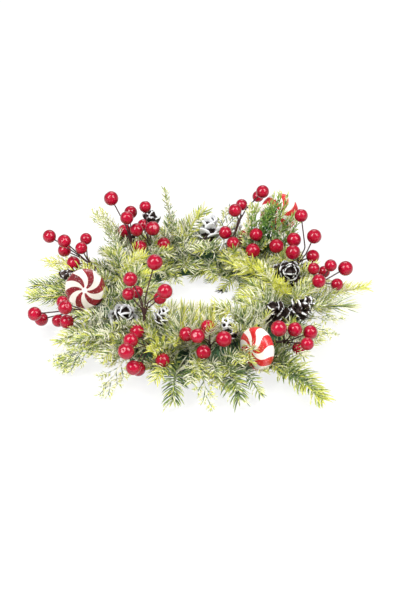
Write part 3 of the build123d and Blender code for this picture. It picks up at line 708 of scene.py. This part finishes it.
for nodeName, rows in sprigPlaces.items():
    placedSprigs(nodeName, rows + coverTufts(nodeName))
print("foliage placed")

# Berries
berryShape = {
    "weld": 1e-6, "segments": 24, "rings": 16, "crown": 0.48, "dimple": 0.05, "longFrom": 1.2
}
berryFinish = {
    "shader": {"Roughness": 0.24, "Coat Weight": 0.4, "Coat Roughness": 0.1, "Specular IOR Level": 0.3},
    "blotch": 6.0,  # mm, half a berry
    "reds": ((0.3, "#9a0022"), (0.7, "#b80030")),
    # painted shade: each berry's colour turns towards this dark red at its outline as seen
    "rim": "#520010",
    "rimShadeBlend": 0.3,
    "rimShadeShare": 0.7,
    "pores": 1.2,  # mm: the foam's beads, felt through the lacquer
    "bump": {"Strength": 0.06, "Distance": 0.0002},
}


def berryMaterial():
    # polystyrene foam dipped in crimson lacquer: wet highlights, and painted shade that darkens each
    # berry towards its outline
    look = berryFinish
    material, tree, shader = newMaterial("red lacquer", look["shader"])
    place = addNode(tree, "TexCoord").outputs["Object"]
    blotch = addNode(tree, "TexNoise", {"Vector": place, "Scale": 1000 / look["blotch"], "Detail": 3.0})
    red = addNode(tree, "ValToRGB", {0: blotch}, look["reds"])
    # painted shade, stronger where the surface turns away from the eye
    edge = addNode(tree, "LayerWeight", {0: look["rimShadeBlend"]}).outputs["Facing"]
    rim = addNode(tree, "Math", {0: edge, 1: look["rimShadeShare"]}, operation="MULTIPLY")
    colour = addNode(tree, "Mix", {0: rim, 6: red, 7: linearColour(look["rim"])}, data_type="RGBA")
    pores = addNode(tree, "TexNoise", {"Vector": place, "Scale": 1000 / look["pores"], "Detail": 3.0})
    bump = addNode(tree, "Bump", {"Height": pores, **look["bump"]})
    setSockets(shader, {"Base Color": colour.outputs[2], "Normal": bump})
    return material


def islandBoxes(nodeName):
    # lowest and highest corner of each separate solid in a CAD node
    work = bmesh.new()
    work.from_mesh(frame["nodes"][nodeName].data)
    bmesh.ops.remove_doubles(work, verts=work.verts, dist=berryShape["weld"])
    left = dict.fromkeys(work.verts)
    boxes = []
    while left:
        reached = [left.popitem()[0]]
        corners = []
        while reached:
            vert = reached.pop()
            corners.append(vert.co.copy())
            for edge in vert.link_edges:
                other = edge.other_vert(vert)
                if other in left:
                    del left[other]
                    reached.append(other)
        low = Vector(min(c[axis] for c in corners) for axis in range(3))
        high = Vector(max(c[axis] for c in corners) for axis in range(3))
        boxes.append((low, high))
    work.free()
    return boxes


def berries(nodeName):
    # a dimpled ball for each berry, its dimple away from the spray's middle; a long one stands up
    boxes = islandBoxes(nodeName)
    middle = sum(((low + high) / 2 for low, high in boxes), Vector()) / len(boxes)
    crown = berryShape["crown"]
    work = bmesh.new()
    for low, high in boxes:
        centre = (low + high) / 2
        wide = min(high - low)
        tall = max(high - low)
        isLong = tall > wide * berryShape["longFrom"]
        made = bmesh.ops.create_uvsphere(
            work, u_segments=berryShape["segments"], v_segments=berryShape["rings"], radius=0.5
        )
        for vert in made["verts"]:
            if vert.co.z > crown:
                vert.co.z -= berryShape["dimple"] * (vert.co.z - crown) / (0.5 - crown)
        way = Vector((0, 0, 1)) if isLong else (centre - middle).normalized()
        turn = way.to_track_quat("Z", "Y").to_matrix().to_4x4()
        shape = Matrix.Diagonal((wide, wide, tall if isLong else wide, 1))
        bmesh.ops.transform(work, matrix=Matrix.Translation(centre) @ turn @ shape, verts=made["verts"])
    finishPiece(work, nodeName, redLacquer, smooth=True)


redLacquer = berryMaterial()
for nodeName in sorted(frame["nodes"]):
    if nodeName.endswith("_spray_berries"):
        berries(nodeName)
print("berries made")

# Cones: sizes in metres, and angles in degrees
coneForms = {
    "round": {"diameter": 0.0285, "length": 0.026, "scales": 16, "width": 0.0138},
    "long": {"diameter": 0.025, "length": 0.042, "scales": 26, "width": 0.012},
}
coneSpiral = {
    "first": 0.12, "last": 0.8, "closing": 0.5, "firstTilt": 2, "lastTilt": 58, "narrowing": 0.4,
    "coreShare": 0.86, "coreRadii": (0.0045, 0.0018), "coreSides": 12,
}
scaleShape = {
    "thickness": 0.0012, "lip": 0.2, "notch": 0.42, "rootShare": 0.25, "root": 0.05, "shoulder": 0.6,
    "cup": 0.0008, "along": 5, "across": 4,
}
# By CAD node: the pin's seat on the ring, the crown point of the cone's heart, size, form, share of snow
conePlaces = {
    "right_cone": ((24.5, 0.79), (14.5, 0.15, 0.2), 1.08, "round", 0.1),
    "right_back_small_cone": ((18, 0.85), (20.5, 0.35, 0.09), 0.62, "round", 0.1),
    "right_front_cone": ((-22, 0.7), (-18, 0.27, 0.17), 0.9, "round", 0.08),
    "right_inner_cone": ((-26, 0.6), (-31.5, 0.1, 0.2), 0.92, "round", 0.02),
    "front_cone": ((-66, 0.4), (-70, 0.03, 0.23), 0.72, "round", 0.4),
    "left_inner_cone": ((-152, 0.5), (-146, 0.13, 0.19), 1.0, "round", 0.26),
    "left_small_cone": ((-124, 0.25), (-119.5, -0.02, 0.32), 0.62, "round", 0.4),
    "left_long_cone": ((164.4, 0.79), (169, 0.46, 0.13), 1.0, "long", 0.02),
    "back_cone": ((85, 0.7), (85, 0.29, 0.24), 0.95, "round", 0.45),
    "back_right_small_cone": ((74, 0.8), (71.5, 0.4, 0.17), 0.62, "round", 0.5),
    "back_left_cone": ((112, 0.75), (115, 0.48, 0.32), 0.72, "round", 0.1),
    "back_left_outer_cone": ((130, 0.8), (128.5, 0.5, 0.16), 0.8, "round", 0.1),
}
coneFinish = {
    "shader": {"Roughness": 0.62},
    "grain": 1.6,  # mm along the wood's fibres
    "browns": ((0.25, "#1c1416"), (0.55, "#35241f"), (0.8, "#604a3c")),
    "patch": 2.6,  # mm across a fleck of snow
    "ragged": 0.7,
    "snowEdge": 0.08,
    "snow": "#eef0f2",
    "bump": {"Strength": 0.5, "Distance": 0.0005},
}


def coneMaterial():
    # dried wood, dark and matt, with thick white paint from the lip of each scale inwards
    look = coneFinish
    material, tree, shader = newMaterial("dark cone scales", look["shader"])
    place = addNode(tree, "TexCoord").outputs["Object"]
    grain = addNode(tree, "TexNoise", {"Vector": place, "Scale": 1000 / look["grain"], "Detail": 5.0})
    brown = addNode(tree, "ValToRGB", {0: grain}, look["browns"])
    patch = addNode(tree, "TexNoise", {"Vector": place, "Scale": 1000 / look["patch"], "Detail": 3.0})
    fleck = addNode(tree, "Math", {0: patch, 1: 0.5}, operation="SUBTRACT")
    snow = addNode(tree, "Attribute", attribute_name="snow").outputs["Fac"]
    level = addNode(tree, "Math", {0: fleck, 1: look["ragged"], 2: snow}, operation="MULTIPLY_ADD")
    cover = addNode(tree, "MapRange", {0: level, 1: 0.0, 2: look["snowEdge"]})
    colour = addNode(tree, "Mix", {0: cover, 6: brown, 7: linearColour(look["snow"])}, data_type="RGBA")
    bump = addNode(tree, "Bump", {"Height": grain, **look["bump"]})
    setSockets(shader, {"Base Color": colour.outputs[2], "Normal": bump})
    return material


def coneScale(work, layer, reach, width, place, snow):
    # a spade-shaped scale, its lip thick and curled up, snowed from the lip inwards
    shape = scaleShape
    made = bmesh.ops.create_grid(work, x_segments=shape["along"], y_segments=shape["across"], size=0.5)
    verts = made["verts"]
    for vert in verts:
        along, across = vert.co.x + 0.5, vert.co.y * 2
        bulge = math.sin(math.pi * (shape["root"] + shape["shoulder"] * along))
        half = width / 2 * (shape["rootShare"] + (1 - shape["rootShare"]) * bulge)
        rounding = shape["notch"] * across * across * along
        vert[layer] = along - 1 + snow
        vert.co = (
            reach * (along - rounding),
            half * across,
            reach * shape["lip"] * along ** 3 - shape["cup"] * across * across,
        )
    faces = list(dict.fromkeys(face for vert in verts for face in vert.link_faces))
    thick = bmesh.ops.solidify(work, geom=faces, thickness=shape["thickness"])
    added = [part for part in thick["geom"] if isinstance(part, bmesh.types.BMVert)]
    bmesh.ops.transform(work, matrix=place, verts=list(dict.fromkeys([*verts, *added])))


def cone(nodeName, seatPlace, heartPlace, sizeShare, formName, snow):
    # scales on a spiral round a core, closing towards the tip
    form = coneForms[formName]
    spiral = coneSpiral
    seat = ringSeat(*seatPlace)
    heart = crownPoint(*heartPlace)
    axis = (heart - seat).normalized()
    foot = heart - axis * form["length"] * sizeShare / 2
    work = bmesh.new()
    layer = work.verts.layers.float.new("snow")
    coreLength = form["length"] * spiral["coreShare"]
    core = coneAlong(
        work, Vector(), Vector((0, 0, 1)), coreLength, *spiral["coreRadii"], spiral["coreSides"]
    )
    for vert in core:
        vert[layer] = -1
    for index in range(form["scales"]):
        share = index / (form["scales"] - 1)
        reach = form["diameter"] / 2 * (1 - spiral["closing"] * share ** 2)
        tilt = spiral["firstTilt"] + (spiral["lastTilt"] - spiral["firstTilt"]) * share
        height = form["length"] * (spiral["first"] + (spiral["last"] - spiral["first"]) * share)
        turn = Matrix.Rotation(math.radians(index * goldenTurn), 4, "Z")
        lean = Matrix.Rotation(math.radians(-tilt), 4, "Y")
        place = Matrix.Translation((0, 0, height)) @ turn @ lean
        width = form["width"] * (1 - spiral["narrowing"] * share)
        coneScale(work, layer, reach, width, place, snow)
    aim = axis.to_track_quat("Z", "Y").to_matrix().to_4x4()
    shape = Matrix.Translation(foot) @ aim @ Matrix.Scale(sizeShare, 4)
    bmesh.ops.transform(work, matrix=shape, verts=work.verts)
    bmesh.ops.recalc_face_normals(work, faces=work.faces)
    finishPiece(work, nodeName, coneWood, smooth=False)


coneWood = coneMaterial()
for nodeName, places in conePlaces.items():
    cone(nodeName, *places)
print("cones made")

# Candies
candyFinish = {
    "shader": {"Roughness": 0.32, "Coat Weight": 0.6, "Coat Roughness": 0.12},
    "cloud": 8.0,  # mm across an uneven patch of paint
    "flake": 10 / 22,  # mm: 22 flakes to a centimetre, coarser than real glitter so that they show
    # painted glints: which flakes get white mixed into the paint, and how much
    "paintedGlintFrom": 0.86,
    "paintedGlintShare": 0.35,
    "bump": {"Strength": 0.12, "Distance": 0.0003},
}


def candyMaterial(name, darker, lighter):
    # lacquered polystyrene with glitter pressed in: glossy, with scattered white specks painted in as the
    # glitter's glints
    look = candyFinish
    material, tree, shader = newMaterial(name, look["shader"])
    place = addNode(tree, "TexCoord").outputs["Object"]
    cloud = addNode(tree, "TexNoise", {"Vector": place, "Scale": 1000 / look["cloud"], "Detail": 3.0})
    paint = addNode(tree, "ValToRGB", {0: cloud}, ((0.3, darker), (0.7, lighter)))
    flakes = addNode(tree, "TexVoronoi", {"Vector": place, "Scale": 1000 / look["flake"]}, feature="F1")
    paintedGlint = addNode(
        tree, "Math", {0: flakes.outputs["Color"], 1: look["paintedGlintFrom"]}, operation="GREATER_THAN"
    )
    share = addNode(tree, "Math", {0: paintedGlint, 1: look["paintedGlintShare"]}, operation="MULTIPLY")
    colour = addNode(tree, "Mix", {0: share, 6: paint, 7: linearColour("#ffffff")}, data_type="RGBA")
    bump = addNode(tree, "Bump", {"Height": flakes.outputs["Distance"], **look["bump"]})
    setSockets(shader, {"Base Color": colour.outputs[2], "Normal": bump})
    return material


# Stems and pins: one grain, stretched over the piece, that colours it
grainedFinishes = {
    # waxed paper tape wound on wire: matt brown, finely crinkled
    "taped twig": {
        "shader": {"Roughness": 0.7}, "grain": 1.2, "detail": 4.0, "stretch": (1, 1, 2.5),
        "colours": ((0.3, "#2a1416"), (0.6, "#4b2a2a"), (0.85, "#6a4640")),
        "bump": {"Strength": 0.4, "Distance": 0.0004},
    },
    # drawn steel wire, dulled by handling: a soft grey metal, too smooth for a bump
    "pick wire": {
        "shader": {"Roughness": 0.4, "Metallic": 0.9}, "grain": 1.0, "detail": 3.0, "stretch": (1, 1, 1),
        "colours": ((0.3, "#3c3a38"), (0.7, "#6c6a66")),
    },
}


def grainedMaterial(name):
    look = grainedFinishes[name]
    material, tree, shader = newMaterial(name, look["shader"])
    place = addNode(tree, "TexCoord").outputs["Object"]
    mapping = addNode(tree, "Mapping", {"Vector": place, "Scale": look["stretch"]})
    pattern = {"Vector": mapping, "Scale": 1000 / look["grain"], "Detail": look["detail"]}
    grain = addNode(tree, "TexNoise", pattern)
    setSockets(shader, {"Base Color": addNode(tree, "ValToRGB", {0: grain}, look["colours"])})
    if "bump" in look:
        setSockets(shader, {"Normal": addNode(tree, "Bump", {"Height": grain, **look["bump"]})})
    return material


# Ring
tapeFinish = {
    "shader": {"Roughness": 0.75},
    "tapeWidth": 10.0,  # mm of the ring's middle line to one turn of tape
    "slant": 90.0,  # turns crossed in a metre of height
    "crinkle": 1.2,  # mm
    "greens": ((0.1, "#22402a"), (0.5, "#35583b"), (0.9, "#4c7550")),
    "bump": {"Strength": 0.6, "Distance": 0.0008},
}


def tapeMaterial():
    # dark green plastic tape wound slantwise over foam: matt, each turn shading to its edge
    look = tapeFinish
    material, tree, shader = newMaterial("wound green tape", look["shader"])
    place = addNode(tree, "TexCoord").outputs["Object"]
    parts = addNode(tree, "SeparateXYZ", {0: place})
    angle = addNode(tree, "Math", {0: parts.outputs["Y"], 1: parts.outputs["X"]}, operation="ARCTAN2")
    middleLine = math.pi * (ringPlace["innerRadius"] + ringPlace["outerRadius"]) * 1000
    windings = round(middleLine / look["tapeWidth"])
    turns = addNode(tree, "Math", {0: angle, 1: windings / (2 * math.pi)}, operation="MULTIPLY")
    slant = addNode(
        tree, "Math", {0: parts.outputs["Z"], 1: look["slant"], 2: turns}, operation="MULTIPLY_ADD"
    )
    band = addNode(tree, "Math", {0: slant}, operation="FRACT")
    crinkle = addNode(tree, "TexNoise", {"Vector": place, "Scale": 1000 / look["crinkle"], "Detail": 4.0})
    both = addNode(tree, "Math", {0: band, 1: crinkle}, operation="ADD")
    shade = addNode(tree, "Math", {0: both, 1: 0.5}, operation="MULTIPLY")
    colour = addNode(tree, "ValToRGB", {0: shade}, look["greens"])
    bump = addNode(tree, "Bump", {"Height": shade, **look["bump"]})
    setSockets(shader, {"Base Color": colour, "Normal": bump})
    return material


# Pieces that keep their CAD shape, by a node's whole name or the end of it
cadMaterials = {
    "_spray_stem": grainedMaterial("taped twig"),
    "left_candy": candyMaterial("warm white lacquer", "#e6ddd2", "#f6f1ea"),
    "left_candy_stripes": candyMaterial("deep red lacquer", "#6d141d", "#99222c"),
    "_candy": candyMaterial("white lacquer", "#ece6e0", "#fbf7f3"),
    # painted light: the same red glitter as the left candy's stripes, painted lighter for the light these
    # stripes reflect
    "_candy_stripes": candyMaterial("red lacquer painted lighter as lit", "#b8141c", "#dc2a2c"),
    "_pins": grainedMaterial("pick wire"),
    "base_ring": tapeMaterial(),
}
for nodeName, node in frame["nodes"].items():
    if node.hide_render:
        continue
    named = cadMaterials.get(nodeName) or next(
        material for ending, material in cadMaterials.items() if nodeName.endswith(ending)
    )
    node.data.materials.clear()
    node.data.materials.append(named)
print("materials set")

# Floor, lights and camera
stageLook = {
    "floorSize": 6.0, "floorGap": 0.0005, "white": "#ffffff", "roughness": 0.9, "shadowShare": 0.2,
    "fill": 0.3,
}
lampLooks = (
    {"place": (-0.75, -0.55, 1.1), "size": (0.5, 1.0), "power": 19.0},
    {"place": (0.75, -0.45, 1.1), "size": (0.5, 1.0), "power": 15.0},
    {"place": (0.1, 1.1, 1.2), "size": (0.8, 0.8), "power": 7.0},
)
cameraLook = {"elevation": 35.0, "distance": 1.05, "lens": 72.3, "sensor": 36.0, "aim": (0, 0, 0.0165)}


def floorAndBackdrop():
    # a white paper sweep: pure white to the camera, with the object's shadow kept as a share
    work = bmesh.new()
    bmesh.ops.create_grid(work, x_segments=1, y_segments=1, size=stageLook["floorSize"] / 2)
    floor = addObject("floor", meshFrom(work, "floor"))
    floor.location.z = -stageLook["floorGap"]
    white = linearColour(stageLook["white"])
    material, tree, shader = newMaterial(
        "white sweep", {"Roughness": stageLook["roughness"], "Base Color": white}
    )
    rays = addNode(tree, "LightPath").outputs
    seen = addNode(
        tree, "Math", {0: rays["Is Camera Ray"], 1: rays["Is Glossy Ray"]}, operation="MAXIMUM"
    )
    seen = addNode(tree, "Math", {0: seen, 1: rays["Is Transmission Ray"]}, operation="MAXIMUM")
    share = addNode(tree, "Math", {0: seen, 1: 1 - stageLook["shadowShare"]}, operation="MULTIPLY")
    glow = addNode(tree, "Emission", {0: white, 1: 1.0})
    mixed = addNode(tree, "MixShader", {0: share, 1: shader, 2: glow})
    setSockets(tree.nodes["Material Output"], {0: mixed})
    floor.data.materials.append(material)


def lights():
    # two tall softboxes in front, a weak one behind, and a room that fills the shadows
    world = bpy.data.worlds.new("soft white room")
    bpy.context.scene.world = world
    world.use_nodes = True
    tree = world.node_tree
    seen = addNode(tree, "LightPath").outputs["Is Camera Ray"]
    strength = addNode(tree, "MapRange", {0: seen, 3: stageLook["fill"], 4: 1.0})
    setSockets(tree.nodes["Background"], {0: linearColour(stageLook["white"]), 1: strength})
    for number, look in enumerate(lampLooks):
        lamp = bpy.data.lights.new(f"softbox{number}", "AREA")
        lamp.energy = look["power"]
        lamp.shape = "RECTANGLE"
        lamp.size, lamp.size_y = look["size"]
        stand = addObject(lamp.name, lamp)
        stand.location = look["place"]
        stand.rotation_euler = (-Vector(look["place"])).to_track_quat("-Z", "Y").to_euler()


def camera():
    lens = bpy.data.cameras.new("camera")
    lens.lens = cameraLook["lens"]
    lens.sensor_width = cameraLook["sensor"]
    eye = addObject("camera", lens)
    tilt = math.radians(cameraLook["elevation"])
    back = Vector((0, -math.cos(tilt), math.sin(tilt)))
    eye.location = Vector(cameraLook["aim"]) + back * cameraLook["distance"]
    eye.rotation_euler = (-back).to_track_quat("-Z", "Y").to_euler()
    bpy.context.scene.camera = eye


floorAndBackdrop()
lights()
camera()
bpy.context.scene.view_settings.view_transform = "Standard"
print("stage set")
